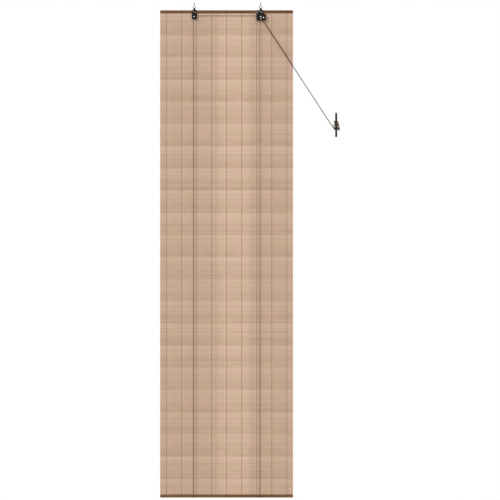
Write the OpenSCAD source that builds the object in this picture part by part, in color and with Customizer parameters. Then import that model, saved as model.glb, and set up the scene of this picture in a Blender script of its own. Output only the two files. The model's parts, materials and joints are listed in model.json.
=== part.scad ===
// Bamboo roll up blind on two screw hooks, with a cord lock and a wall cleat.
// Origin: midway between the hook screws, in the plane that they screw into.
// +Z is up, +X is to the right of someone facing the blind, who stands on the -Y side.

/* [Blind] */
// Width of the mat and its battens
blind_w = 600; // [420:10:1600]
// From the top of the head batten to the underside of the bottom batten
drop = 2200; // [1200:50:2600]
// Height of each batten
batten_h = 14; // [12:0.5:24]
// Thickness of each batten
batten_t = 8; // [7:0.5:16]
// Rounding of the long edges of each batten
batten_edge = 1.5; // [0.5:0.25:3]

/* [Mat] */
// Distance from one slat to the next
slat_pitch = 5; // [5:0.5:12]
// Thickness of a slat
slat_t = 1.8; // [1.4:0.1:3]
// Width of the groove between two slats
groove_w = 0.8; // [0.4:0.1:1.5]
// Depth of that groove on each face
groove_d = 0.6; // [0.2:0.05:0.65]
// Set of the mat's middle behind the line that the blind hangs from
mat_set = 0.13; // [-1:0.05:2]

/* [Warp threads] */
// Number of warp threads across the mat
warp_count = 9; // [3:2:11]
// Distance from one warp thread to the next
warp_pitch = 68; // [30:1:72]
// Width of a warp thread
thread_w = 1.4; // [0.8:0.1:2.5]
// Thickness of a warp thread
thread_t = 0.5; // [0.3:0.05:0.8]

/* [Hooks] */
// Distance between the two hook screws
hook_spacing = 300; // [150:10:360]
// Wire of a hook
hook_wire_d = 2.4; // [2:0.1:2.8]
// Radius of the ring, at the middle of the wire
ring_r = 6.5; // [6.5:0.1:9]
// Part of a full turn that the ring goes round, in degrees
ring_sweep = 290; // [270:5:310]
// Diameter of the collar
collar_d = 5.6; // [5:0.2:9]
// Height of the collar
collar_h = 1.5; // [1:0.1:3]
// Diameter of the wood screw
screw_d = 3.6; // [3:0.1:4.6]
// Length of the wood screw below its point
screw_len = 11; // [8:0.5:30]
// Length of the screw's point
screw_point = 3; // [2:0.5:5]

/* [Brackets] */
// Thickness of the plates
plate_t = 1; // [0.8:0.1:1.6]
// Inner radius of the rolled eye
eye_r = 2.8; // [2.8:0.1:3.4]
// Width of the rolled eye
eye_w = 7; // [4:0.5:7]
// From the middle of the eye down to the head batten
eye_drop = 8.3; // [7:0.1:14]
// Width of the left bracket
bracket_w = 22; // [20:0.5:30]
// Reach of the left bracket below the head batten
bracket_drop = 26.5; // [25:0.5:40]
// Reach of the lock's plates to the left of its hook
lock_left = 20; // [18:0.5:30]
// Reach of the lock's plates to the right of its hook
lock_right = 23; // [21:0.5:32]
// Reach of the lock's plates below the head batten
lock_drop = 33; // [31:0.5:45]
// Rounding of the plates' lower corners
corner_r = 4; // [1:0.5:6]
// Diameter of the bracket screws
wood_screw_d = 2.2; // [1.8:0.1:2.6]
// Diameter of the bracket screws' heads
screw_head_d = 4; // [3.4:0.1:5]

/* [Pulleys] */
// From the head batten down to the wheel axles
axle_drop = 15.5; // [14.5:0.5:20]
// Diameter of the axles
axle_d = 3; // [2:0.1:3.4]
// Radius at which the cord's middle runs on a wheel
pitch_r = 4.5; // [4.2:0.1:6]
// Height of a wheel's flange above the cord's middle
flange_h = 2; // [1.2:0.1:2.6]
// Thickness of a flange at its rim
flange_t = 0.9; // [0.6:0.1:1.4]

/* [Cord lock] */
// Diameter of the guide roller
roller_d = 5.2; // [4.4:0.1:6]
// Diameter of the guide roller's pin
roller_pin_d = 2.4; // [1.6:0.1:2.6]
// Place of the pawl's pin to the right of the hook
pawl_x = 12.5; // [12:0.25:15]
// Place of the pawl's pin below the wheel's axle
pawl_drop = 4; // [2:0.25:5]
// Diameter of the pawl round its pin
pawl_boss_d = 7.2; // [6.4:0.1:8]
// Place of the pawl's toe below the wheel's axle
toe_drop = 8.6; // [8:0.1:10]
// Diameter of the pawl's toe
toe_d = 4.6; // [4:0.1:5]

/* [Cords] */
// Diameter of the cords
cord_d = 1.8; // [1.2:0.1:2]
// Diameter of the knots at the fixed ends
knot_d = 4.4; // [3.6:0.1:6]

/* [Cleat] */
// Place of the cleat to the right of the hooks' middle
cleat_x = 490; // [480:1:500]
// Place of the cleat's middle below the hooks' plane
cleat_drop = 542; // [532:1:552]
// Length of the cleat over its horns
cleat_len = 111; // [90:1:140]
// Width of the cleat
cleat_w = 9; // [8.4:0.1:9.2]
// Place of the wall behind the hooks
wall_y = 14; // [14:0.5:20]
// Distance between the cleat's screw holes
cleat_pitch = 9; // [8:0.25:9.5]
// Diameter of the cleat's screw holes
cleat_hole_d = 3.6; // [3:0.1:4]

/* [Clearances] */
// Round a pin that turns or a screw in its hole
pin_gap = 0.05; // [0.02:0.01:0.1]
// Between pieces that move past each other
move_gap = 0.3; // [0.2:0.05:0.4]
// Between a cord and what it lies on, and between two lengths of cord
cord_gap = 0.1; // [0.05:0.05:0.2]

/* [Hidden] */
$fn = 48;

bamboo = [0.78, 0.66, 0.57];
stain = [0.43, 0.31, 0.22];
thread_brown = [0.45, 0.33, 0.24];
cord_brown = [0.36, 0.28, 0.21];
black = [0.08, 0.08, 0.08];
steel = [0.75, 0.76, 0.78];
nylon = [0.9, 0.89, 0.86];

// Places across the blind
left_x = -hook_spacing / 2;
right_x = hook_spacing / 2;
cord_r = cord_d / 2;
mat_x = -pitch_r;
cord_xs = [left_x - pitch_r, right_x - pitch_r];
warp_xs = [
  for (i = [0 : warp_count - 1]) let (x = (i - (warp_count - 1) / 2) * warp_pitch)
    if (abs(x) < (blind_w - thread_w) / 2) mat_x + x
];

// Heights
ring_z = -(collar_h + hook_wire_d / 2 + ring_r);
eye_z = ring_z - ring_r;
head_top = eye_z - eye_drop;
head_bottom = head_top - batten_h;
head_mid = (head_top + head_bottom) / 2;
foot_bottom = head_top - drop;
foot_top = foot_bottom + batten_h;
foot_mid = (foot_top + foot_bottom) / 2;
wheel_z = head_bottom - axle_drop;

// How far a cut goes past the face that it cuts
past = 1;

// Depths
eye_inset = 0.05;
plate_back = eye_inset - eye_r;
plate_front = plate_back - plate_t;
batten_front = plate_back + thread_t + cord_gap;
batten_back = batten_front + batten_t;
mat_front = mat_set - slat_t / 2;
mat_back = mat_set + slat_t / 2;

// Pulley wheels
axle_r = axle_d / 2;
flange_r = pitch_r + flange_h;
groove_r = pitch_r - cord_r - move_gap;
groove_foot = cord_r + move_gap;
groove_flare = 0.3;
groove_rim = groove_foot + groove_flare;
groove_web = 0.6;
groove_step = 2 * groove_rim + groove_web;
single_t = 2 * (groove_rim + flange_t);
double_t = single_t + groove_step;
near_y = plate_front - move_gap - flange_t - groove_rim;
far_y = near_y - groove_step;
left_cheek = plate_front - single_t - 2 * move_gap;
right_cheek = plate_front - double_t - 2 * move_gap;
double_mid = (plate_front + right_cheek) / 2;

// Cord lock
roller_r = roller_d / 2;
roller_x = right_x + pitch_r - cord_r - move_gap - roller_r;
roller_z = wheel_z - flange_r - roller_r - 2 * move_gap;
pawl = [right_x + pawl_x, wheel_z - pawl_drop];
toe_bend = toe_d / 2 + move_gap + cord_r;
toe = [right_x + pitch_r + toe_bend, wheel_z - toe_drop];
tooth_r = 0.35;
tooth_angles = [165, 187, 209];
lock_screw = [-14.4, -3.5];

// Fasteners
rivet_head_extra = 1.1;
rivet_head_h = 1.1;
rivet_tail_h = 0.6;
plate_screws = [[-4.5, 1.8], [4.5, -2.7]];
screw_head_h = 1.1;
screw_slot_w = 0.6;
screw_slot_d = 0.5;
screw_cover = 1.5;
screw_hold = batten_t - screw_cover;

// Plates, measured from the batten's edges
neck_rise = 5;
shoulder_drop = 1;
wing_reach = 2;
wing_drop = 1;
neck_inset = 1;
front_plate_lap = 2;
joggle_drop = 0.5;
joggle_h = 4.5;
notch_r = 2.6;
notch_xs = [-pitch_r - 1, pitch_r + 5];

// Tie eyes
tie_ring_r = 2.6;
tie_wire_r = 0.7;
tie_hold = 4;
tie_low = 2.5;
tie_y = batten_back + tie_ring_r + tie_wire_r;
tie_z = head_mid - tie_low;

// Cleat and the cord wound on it, seen from the front
cleat_z = -cleat_drop;
cleat_stand = 26;
cleat_face = wall_y - cleat_stand;
cleat_flat_h = 44;
cleat_horn_t = 7.8;
cleat_under = cleat_face + cleat_horn_t;
cleat_tip_r = 2.6;
cleat_tip_set = 1.3;
cleat_stem_h = 16;
cleat_fillet = 4.2;
cleat_foot_h = 34;
cleat_foot_t = 4;
cleat_foot_r = 3;
cleat_foot_edge = 2;
cleat_hole_zs = [-cleat_pitch / 2, cleat_pitch / 2];
sink_h = 1.7;
sink_r = cleat_hole_d / 2 + sink_h;
hank_ends = [[-2.6, 7.5, 11], [5.2, -12.8, 12]];
hank_back_t = 4;
hank_ys = [cleat_face - cord_d - 2 * cord_gap, cleat_under + hank_back_t];

// Free run of both cords from the lock to the cleat, past the point where they leave the pawl's toe
pull_lean = 33.3;
pull_left = [
  [177.5, -5.9, -100], [201.1, -5.4, -136], [224.8, -4.9, -172], [248.4, -4.4, -208],
  [272, -3.8, -244], [295.7, -3.3, -280], [319.3, -2.8, -316], [342.9, -2.3, -352],
  [366.5, -1.7, -388], [390.2, -1.2, -424], [413.8, -0.7, -460], [437.4, -0.2, -496],
  [461.1, 0.4, -532], [472, 0.6, -548.7], [477, -0.9, -555.8], [484.8, -3.1, -557.4]
];
pull_right = [
  [179.9, -9.3, -100], [203.5, -8.6, -136], [227.1, -7.9, -172], [250.8, -7.2, -208],
  [274.4, -6.5, -244], [298, -5.8, -280], [321.6, -5.1, -316], [345.3, -4.4, -352],
  [368.9, -3.7, -388], [392.5, -3, -424], [416.1, -2.3, -460], [439.8, -1.6, -496],
  [463.4, -0.9, -532], [473, -0.6, -546.6], [478, -1.2, -554], [484.8, -3.1, -555.4]
];

// Degrees from one point to the next where a cord bends round a wheel
bend_step = 15;

// Points along an arc from angle a to angle b
function arc(centre, r, a, b, n) =
  [for (i = [0 : n]) centre + r * [cos(a + (b - a) * i / n), sin(a + (b - a) * i / n)]];

// A flat route of [x, z] points, set at depth y
function at_depth(points, y) = [for (p = points) [p[0], y, p[1]]];

function unit(v) = v / norm(v);
function heading(path, i) = unit(path[min(i + 1, len(path) - 1)] - path[max(i - 1, 0)]);

// One ring of points round a route, square to it
function ring_at(path, i, r, side, sides) =
  let (t = heading(path, i), u = unit(cross(t, side)), v = cross(t, u))
  [for (j = [0 : sides - 1]) path[i] + r * (cos(360 * j / sides) * u + sin(360 * j / sides) * v)];

// A round cord along a route, where side points across the whole route
module cord(path, side) {
  sides = 8;
  last = len(path) - 1;
  points = [for (i = [0 : last]) each ring_at(path, i, cord_r, side, sides)];
  skin = [
    for (i = [0 : last - 1]) for (j = [0 : sides - 1])
      let (a = i * sides + j, b = i * sides + (j + 1) % sides)
      each [[a, a + sides, b + sides], [a, b + sides, b]]
  ];
  ends = [[for (j = [0 : sides - 1]) j], [for (j = [sides - 1 : -1 : 0]) last * sides + j]];
  polyhedron(points = points, faces = concat(skin, ends));
}

// Draws a [y, z] outline and pulls it along X
module along_x(length) {
  rotate([90, 0, 90])
    linear_extrude(length, center = true)
      children();
}

// Draws an [x, z] outline and pulls it along Y
module along_y(from, to) {
  translate([0, to, 0])
    rotate([90, 0, 0])
      linear_extrude(to - from)
        children();
}

// A round bar along Y
module bar_y(x, z, r, from, to) {
  translate([x, from, z])
    rotate([-90, 0, 0])
      cylinder(r = r, h = to - from);
}

// A low dome that faces the front, with its flat side at depth y
module dome(x, y, z, r, h) {
  ball_r = (r * r + h * h) / (2 * h);
  intersection() {
    translate([x, y + ball_r - h, z])
      sphere(r = ball_r);
    bar_y(x, z, r + past, y - h - past, y);
  }
}

module screw_hook(x) {
  color(steel)
    translate([x, 0, 0]) {
      cylinder(d = screw_d, h = screw_len);
      translate([0, 0, screw_len])
        cylinder(d1 = screw_d, d2 = screw_d / 5, h = screw_point);
      translate([0, 0, -collar_h])
        cylinder(d = collar_d, h = collar_h);
      translate([0, 0, ring_z + ring_r - hook_wire_d / 2 - cord_gap])
        cylinder(d = hook_wire_d + 2 * cord_gap, h = hook_wire_d + collar_h);
      translate([0, 0, ring_z])
        rotate([90, 0, 0])
          rotate(90)
            rotate_extrude(angle = ring_sweep)
              translate([ring_r, 0])
                circle(d = hook_wire_d);
    }
}

// Section of a batten, as [y, z] points
module batten_section(bottom) {
  y = [batten_front + batten_edge, batten_back - batten_edge];
  z = [bottom + batten_edge, bottom + batten_h - batten_edge];
  polygon(concat(
    arc([y[1], z[1]], batten_edge, 0, 90, 4), arc([y[0], z[1]], batten_edge, 90, 180, 4),
    arc([y[0], z[0]], batten_edge, 180, 270, 4), arc([y[1], z[0]], batten_edge, 270, 360, 4)
  ));
}

module plain_batten(bottom) {
  translate([mat_x, 0, 0])
    along_x(blind_w)
      batten_section(bottom);
}

// Thread bound over one batten, open towards the mat
module binding(x, bottom, over_top) {
  y = batten_front - thread_t;
  translate([x - thread_w / 2, 0, 0])
    difference() {
      translate([0, y, bottom - (over_top ? 0 : thread_t)])
        cube([thread_w, batten_t + 2 * thread_t, batten_h + thread_t]);
      translate([-past, batten_front, bottom - (over_top ? past : 0)])
        cube([thread_w + 2 * past, batten_t, batten_h + past]);
    }
}

module head_batten() {
  color(stain)
    difference() {
      plain_batten(head_bottom);
      for (x = [left_x, right_x], s = plate_screws)
        batten_hole(x + s[0], head_mid + s[1]);
      batten_hole(right_x + lock_screw[0], head_mid + lock_screw[1]);
      for (x = cord_xs)
        bar_y(x, tie_z, tie_wire_r + pin_gap, batten_back - tie_hold - cord_gap, batten_back + past);
    }
}

module batten_hole(x, z) {
  bar_y(x, z, wood_screw_d / 2 + pin_gap, batten_front - past, batten_front + screw_hold + cord_gap);
}

module bottom_batten() {
  color(stain)
    plain_batten(foot_bottom);
}

module head_bindings() {
  color(thread_brown)
    for (x = warp_xs)
      binding(x, head_bottom, true);
}

module bottom_bindings() {
  color(thread_brown)
    for (x = warp_xs)
      binding(x, foot_bottom, false);
}

// The woven slats are one ridged wall
module bamboo_mat() {
  mat_h = head_bottom - foot_top;
  count = round(mat_h / slat_pitch);
  pitch = mat_h / count;
  last = count - 1;
  half = groove_w / 2;
  front = [
    for (i = [0 : last]) let (z = foot_top + i * pitch) each [
      [mat_front, z + (i == 0 ? 0 : half)],
      [mat_front, z + pitch - (i == last ? 0 : half)],
      if (i < last) [mat_front + groove_d, z + pitch]
    ]
  ];
  back = [for (i = [len(front) - 1 : -1 : 0]) [2 * mat_set - front[i][0], front[i][1]]];
  color(bamboo)
    translate([mat_x, 0, 0])
      along_x(blind_w)
        polygon(concat(front, back));
}

module warp_threads() {
  color(thread_brown)
    for (x = warp_xs, y = [mat_front - thread_t, mat_back])
      translate([x - thread_w / 2, y, foot_top])
        cube([thread_w, thread_t, head_bottom - foot_top]);
}

// Rolled eye at the top of a back plate
module rolled_eye(x) {
  translate([x - eye_w / 2, 0, eye_z])
    rotate([0, 90, 0])
      cylinder(r = eye_r + plate_t, h = eye_w);
}

module eye_bore(x) {
  translate([x - eye_w, 0, eye_z])
    rotate([0, 90, 0])
      cylinder(r = eye_r, h = 2 * eye_w);
}

// Outline of the left bracket from its eye down, as [x, z] points
module left_outline(top, half_top) {
  bottom = head_bottom - bracket_drop;
  half = bracket_w / 2;
  corner = [half - corner_r, bottom + corner_r];
  neck = min(top, head_top + neck_rise);
  shoulder = head_top - shoulder_drop;
  translate([left_x, 0])
    polygon(concat(
      [[half_top, top], [half_top, neck], [half, shoulder]],
      arc(corner, corner_r, 0, -90, 6),
      arc([-corner[0], corner[1]], corner_r, -90, -180, 6),
      [[-half, shoulder], [-half_top, neck], [-half_top, top]]
    ));
}

// Outline of the lock's plates, with the notches that the cords pass
module right_outline(top, half_top, half_head, wing) {
  bottom = head_bottom - lock_drop;
  neck = min(top, head_top + neck_rise);
  shoulder = head_top - shoulder_drop;
  side = head_bottom - joggle_h - wing_drop;
  translate([right_x, 0])
    difference() {
      polygon(concat(
        [[half_top, top], [half_top, neck], [half_head, shoulder]],
        [[half_head + wing_reach, head_bottom - wing_drop], [lock_right, side]],
        arc([lock_right - corner_r, bottom + corner_r], corner_r, 0, -90, 6),
        arc([corner_r - lock_left, bottom + corner_r], corner_r, -90, -180, 6),
        [[-lock_left, side], [wing, head_bottom - joggle_drop]],
        [[-half_head, shoulder], [-half_top, neck], [-half_top, top]]
      ));
      for (x = notch_xs)
        translate([x, bottom])
          circle(r = notch_r);
    }
}

// Section of a front plate: flat on the back plate, then stepped out to its cheek
module stepped_section(cheek, bottom) {
  top = head_top - front_plate_lap;
  step = [head_bottom - joggle_drop, head_bottom - joggle_h];
  fold = plate_t / 2;
  polygon([
    [plate_front, top], [plate_front, step[0]], [cheek, step[1]], [cheek, bottom - past],
    [cheek - plate_t, bottom - past], [cheek - plate_t, step[1] + fold],
    [plate_front - plate_t, step[0] + fold], [plate_front - plate_t, top]
  ]);
}

module plate_holes(x) {
  for (s = plate_screws)
    bar_y(x + s[0], head_mid + s[1], wood_screw_d / 2 + pin_gap, plate_front - 2 * plate_t, 0);
}

module lock_holes() {
  bar_y(right_x, wheel_z, axle_r + pin_gap, right_cheek - 2 * plate_t, 0);
  bar_y(roller_x, roller_z, roller_pin_d / 2 + pin_gap, right_cheek - 2 * plate_t, 0);
  bar_y(pawl[0], pawl[1], axle_r + pin_gap, right_cheek - 2 * plate_t, 0);
}

module left_back_plate() {
  color(black)
    difference() {
      union() {
        along_y(plate_front, plate_back)
          left_outline(eye_z, eye_w / 2);
        rolled_eye(left_x);
      }
      eye_bore(left_x);
      plate_holes(left_x);
      bar_y(left_x, wheel_z, axle_r + pin_gap, plate_front - past, 0);
    }
}

module left_front_plate() {
  color(black)
    difference() {
      intersection() {
        translate([left_x, 0, 0])
          along_x(bracket_w + 2 * past)
            stepped_section(left_cheek, head_bottom - bracket_drop);
        along_y(left_cheek - plate_t, plate_front)
          left_outline(head_top - front_plate_lap, bracket_w / 2);
      }
      plate_holes(left_x);
      bar_y(left_x, wheel_z, axle_r + pin_gap, left_cheek - 2 * plate_t, 0);
    }
}

module right_back_plate() {
  color(black)
    difference() {
      union() {
        along_y(plate_front, plate_back)
          right_outline(eye_z, eye_w / 2, bracket_w / 2, -lock_left);
        rolled_eye(right_x);
      }
      eye_bore(right_x);
      plate_holes(right_x);
      bar_y(
        right_x + lock_screw[0], head_mid + lock_screw[1],
        wood_screw_d / 2 + pin_gap, plate_front - past, 0
      );
      lock_holes();
    }
}

module right_front_plate() {
  half_neck = bracket_w / 2 - neck_inset;
  color(black)
    difference() {
      intersection() {
        translate([right_x + (lock_right - lock_left) / 2, 0, 0])
          along_x(lock_left + lock_right + 2 * past)
            stepped_section(right_cheek, head_bottom - lock_drop);
        along_y(right_cheek - plate_t, plate_front)
          right_outline(head_top - front_plate_lap, half_neck, half_neck, -half_neck - wing_reach);
      }
      plate_holes(right_x);
      lock_holes();
    }
}

// A rivet through both plates: a dome in front and a flat tail behind
module rivet(x, z, r, cheek) {
  head_r = r + rivet_head_extra;
  bar_y(x, z, r, cheek - plate_t, plate_back + rivet_tail_h);
  bar_y(x, z, head_r, plate_back, plate_back + rivet_tail_h);
  dome(x, cheek - plate_t, z, head_r, rivet_head_h);
}

module left_wheel_axle() {
  color(steel)
    rivet(left_x, wheel_z, axle_r, left_cheek);
}

module right_wheel_axle() {
  color(steel)
    rivet(right_x, wheel_z, axle_r, right_cheek);
}

module guide_roller_pin() {
  color(steel)
    rivet(roller_x, roller_z, roller_pin_d / 2, right_cheek);
}

module pawl_pin() {
  color(steel)
    rivet(pawl[0], pawl[1], axle_r, right_cheek);
}

// A grooved wheel with its axis along Y
module wheel(x, y, z, grooves) {
  bore = axle_r + pin_gap;
  half = (single_t + (grooves - 1) * groove_step) / 2;
  rim = [
    for (i = [0 : grooves - 1]) let (m = -half + single_t / 2 + i * groove_step) each [
      [flange_r, m - groove_rim], [groove_r, m - groove_foot],
      [groove_r, m + groove_foot], [flange_r, m + groove_rim]
    ]
  ];
  translate([x, y, z])
    rotate([-90, 0, 0])
      rotate_extrude()
        polygon(concat([[bore, -half], [flange_r, -half]], rim, [[flange_r, half], [bore, half]]));
}

module left_pulley_wheel() {
  color(nylon)
    wheel(left_x, near_y, wheel_z, 1);
}

module right_pulley_wheel() {
  color(nylon)
    wheel(right_x, double_mid, wheel_z, 2);
}

module guide_roller() {
  color(nylon)
    translate([roller_x, double_mid, roller_z])
      rotate([-90, 0, 0])
        difference() {
          cylinder(r = roller_r, h = double_t, center = true);
          cylinder(r = roller_pin_d / 2 + pin_gap, h = double_t + 2 * past, center = true);
        }
}

// The pawl bears on the cords with its toe, which has a few teeth beside the roller
module lock_pawl() {
  boss_r = pawl_boss_d / 2;
  toe_r = toe_d / 2;
  arm = toe - pawl;
  way = atan2(arm[1], arm[0]);
  spread = acos((boss_r - toe_r) / norm(arm));
  color(steel)
    difference() {
      along_y(double_mid - double_t / 2, double_mid + double_t / 2)
        polygon(concat(
          arc(pawl, boss_r, way + spread, way + 360 - spread, 16),
          arc(toe, toe_r, way - spread, way + spread, 12)
        ));
      bar_y(pawl[0], pawl[1], axle_r + pin_gap, right_cheek, 0);
      for (a = tooth_angles)
        bar_y(toe[0] + toe_r * cos(a), toe[1] + toe_r * sin(a), tooth_r, right_cheek, 0);
    }
}

// A wood screw from the face at depth y into the batten
module wood_screw(x, y, z) {
  head_r = screw_head_d / 2;
  bar_y(x, z, wood_screw_d / 2, y, batten_front + screw_hold);
  difference() {
    dome(x, y, z, head_r, screw_head_h);
    translate([x - head_r, y - screw_head_h - past, z - screw_slot_w / 2])
      cube([screw_head_d, past + screw_slot_d, screw_slot_w]);
  }
}

module left_bracket_screws() {
  color(steel)
    for (s = plate_screws)
      wood_screw(left_x + s[0], plate_front - plate_t, head_mid + s[1]);
}

module right_bracket_screws() {
  color(steel) {
    for (s = plate_screws)
      wood_screw(right_x + s[0], plate_front - plate_t, head_mid + s[1]);
    wood_screw(right_x + lock_screw[0], plate_front, head_mid + lock_screw[1]);
  }
}

// Screw eye at the back of the head batten, with its ring in the YZ plane
module tie_eye(x) {
  color(steel) {
    bar_y(x, tie_z, tie_wire_r, batten_back - tie_hold, batten_back + tie_wire_r);
    translate([x, tie_y, tie_z])
      rotate([0, 90, 0])
        rotate_extrude()
          translate([tie_ring_r, 0])
            circle(r = tie_wire_r);
  }
}

// Fixed end of a cord: a knot on its tie eye and the run down behind the mat
module cord_back(x) {
  top = tie_z - tie_ring_r;
  color(cord_brown) {
    cord([[x, tie_y, top], [x, batten_back + cord_r + cord_gap, foot_mid + cord_gap]], [1, 0, 0]);
    translate([x, tie_y, top])
      sphere(d = knot_d);
  }
}

// The length that passes under the bottom batten
module cord_loop(x) {
  off = cord_r + cord_gap;
  low = foot_bottom + batten_edge;
  route = concat(
    [[batten_back + off, foot_mid]],
    arc([batten_back - batten_edge, low], batten_edge + off, 0, -90, 4),
    arc([batten_front + batten_edge, low], batten_edge + off, -90, -180, 4),
    [[batten_front - off, foot_mid]]
  );
  color(cord_brown)
    cord([for (p = route) [x, p[0], p[1]]], [1, 0, 0]);
}

// The run up the front of the mat to the wheel
module cord_front(x, y) {
  foot = [x, batten_front - cord_r - cord_gap, foot_mid + cord_gap];
  color(cord_brown)
    cord([foot, [x, y, wheel_z - cord_gap]], [1, 0, 0]);
}

// From the wheel down to the pawl and round its toe
function lock_route() = concat(
  [[right_x + pitch_r, toe[1]]],
  arc(toe, toe_bend, 180, 180 + pull_lean, 4)
);
function over_right(from) = arc([right_x, wheel_z], pitch_r, from, 0, from / bend_step);

module left_cord_head() {
  start = arc([left_x, wheel_z], pitch_r, 180, 90, 90 / bend_step);
  color(cord_brown)
    cord(at_depth(concat(start, over_right(90), lock_route()), near_y), [0, 1, 0]);
}

module right_cord_head() {
  color(cord_brown)
    cord(at_depth(concat(over_right(180), lock_route()), far_y), [0, 1, 0]);
}

// The free run to the cleat
module pull_cord(points, y) {
  leave = toe + toe_bend * [cos(180 + pull_lean), sin(180 + pull_lean)];
  next = leave + cord_gap * [sin(pull_lean), -cos(pull_lean)];
  color(cord_brown)
    cord(concat([[next[0], y, next[1]]], points), [0, 1, 0]);
}

// Room that the cleat takes in the cord's turns: its bar, its stem and the way of its screws
module cleat_room() {
  w = cleat_w + 2 * cord_gap;
  stem = cleat_stem_h + 2 * (cleat_fillet + cord_gap);
  translate([-w / 2, cleat_face - cord_gap, -cleat_len / 2])
    cube([w, cleat_horn_t + 2 * cord_gap, cleat_len]);
  translate([-w / 2, cleat_face, -stem / 2])
    cube([w, cleat_stand, stem]);
  for (z = cleat_hole_zs)
    bar_y(0, z, sink_r + cord_gap, hank_ys[0] - past, cleat_under);
}

// Outer shape of the cord's turns, over the cleat's face and behind its horns
module cleat_hank() {
  color(cord_brown)
    translate([cleat_x, 0, cleat_z])
      difference() {
        along_y(hank_ys[0], hank_ys[1])
          hull()
            for (e = hank_ends)
              translate([e[0], e[1]])
                circle(r = e[2]);
        cleat_room();
      }
}

// Upper half of the cleat's side view, from its face round the horn to its foot, as [y, z] points
function cleat_half() =
  let (tip = cleat_len / 2 - cleat_tip_r, stem = cleat_stem_h / 2, foot = cleat_foot_h / 2)
  concat(
    [[cleat_face, 0], [cleat_face, cleat_flat_h / 2]],
    arc([cleat_face + cleat_tip_set + cleat_tip_r, tip], cleat_tip_r, 175, -10, 8),
    arc([cleat_under + cleat_fillet, stem + cleat_fillet], cleat_fillet, 180, 270, 5),
    arc([wall_y - cleat_foot_t - cleat_foot_r, stem + cleat_foot_r], cleat_foot_r, 270, 360, 4),
    arc([wall_y - cleat_foot_edge, foot - cleat_foot_edge], cleat_foot_edge, 180, 90, 3),
    [[wall_y, foot]]
  );

module cord_cleat() {
  half = cleat_half();
  lower = [for (i = [len(half) - 1 : -1 : 1]) [half[i][0], -half[i][1]]];
  end_r = cleat_w / 2;
  end = cleat_len / 2 - end_r;
  color(black)
    translate([cleat_x, 0, cleat_z])
      difference() {
        intersection() {
          along_x(cleat_w)
            polygon(concat(half, lower));
          along_y(cleat_face - past, wall_y + past)
            polygon(concat(arc([0, end], end_r, 0, 180, 16), arc([0, -end], end_r, 180, 360, 16)));
        }
        for (z = cleat_hole_zs) {
          bar_y(0, z, cleat_hole_d / 2, cleat_face - past, wall_y + past);
          translate([0, cleat_face, z])
            rotate([-90, 0, 0])
              cylinder(r1 = sink_r, r2 = sink_r - sink_h, h = sink_h);
        }
      }
}

screw_hook(left_x);  // left_screw_hook
screw_hook(right_x);  // right_screw_hook
head_batten();
head_bindings();
bamboo_mat();
warp_threads();
bottom_batten();
bottom_bindings();
left_back_plate();
left_front_plate();
left_wheel_axle();
left_pulley_wheel();
left_bracket_screws();
right_back_plate();
right_front_plate();
right_wheel_axle();
right_pulley_wheel();
guide_roller();
guide_roller_pin();
lock_pawl();
pawl_pin();
right_bracket_screws();
tie_eye(cord_xs[0]);  // left_tie_eye
tie_eye(cord_xs[1]);  // right_tie_eye
cord_back(cord_xs[0]);  // left_cord_back
cord_loop(cord_xs[0]);  // left_cord_loop
cord_front(cord_xs[0], near_y);  // left_cord_front
left_cord_head();
cord_back(cord_xs[1]);  // right_cord_back
cord_loop(cord_xs[1]);  // right_cord_loop
cord_front(cord_xs[1], far_y);  // right_cord_front
right_cord_head();
pull_cord(pull_left, near_y);  // left_pull_cord
pull_cord(pull_right, far_y);  // right_pull_cord
cleat_hank();
cord_cleat();
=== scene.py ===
"""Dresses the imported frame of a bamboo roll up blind: split slats, twined warp threads, braided cords,
enamelled brackets and zinc hooks, in a plain studio. Sizes are in metres, in the frame's own axes.
"""

import json
import logging
import math
import random
from dataclasses import dataclass
from enum import Enum
from typing import ClassVar, Iterable, Mapping, Optional, Sequence, Union

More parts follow.
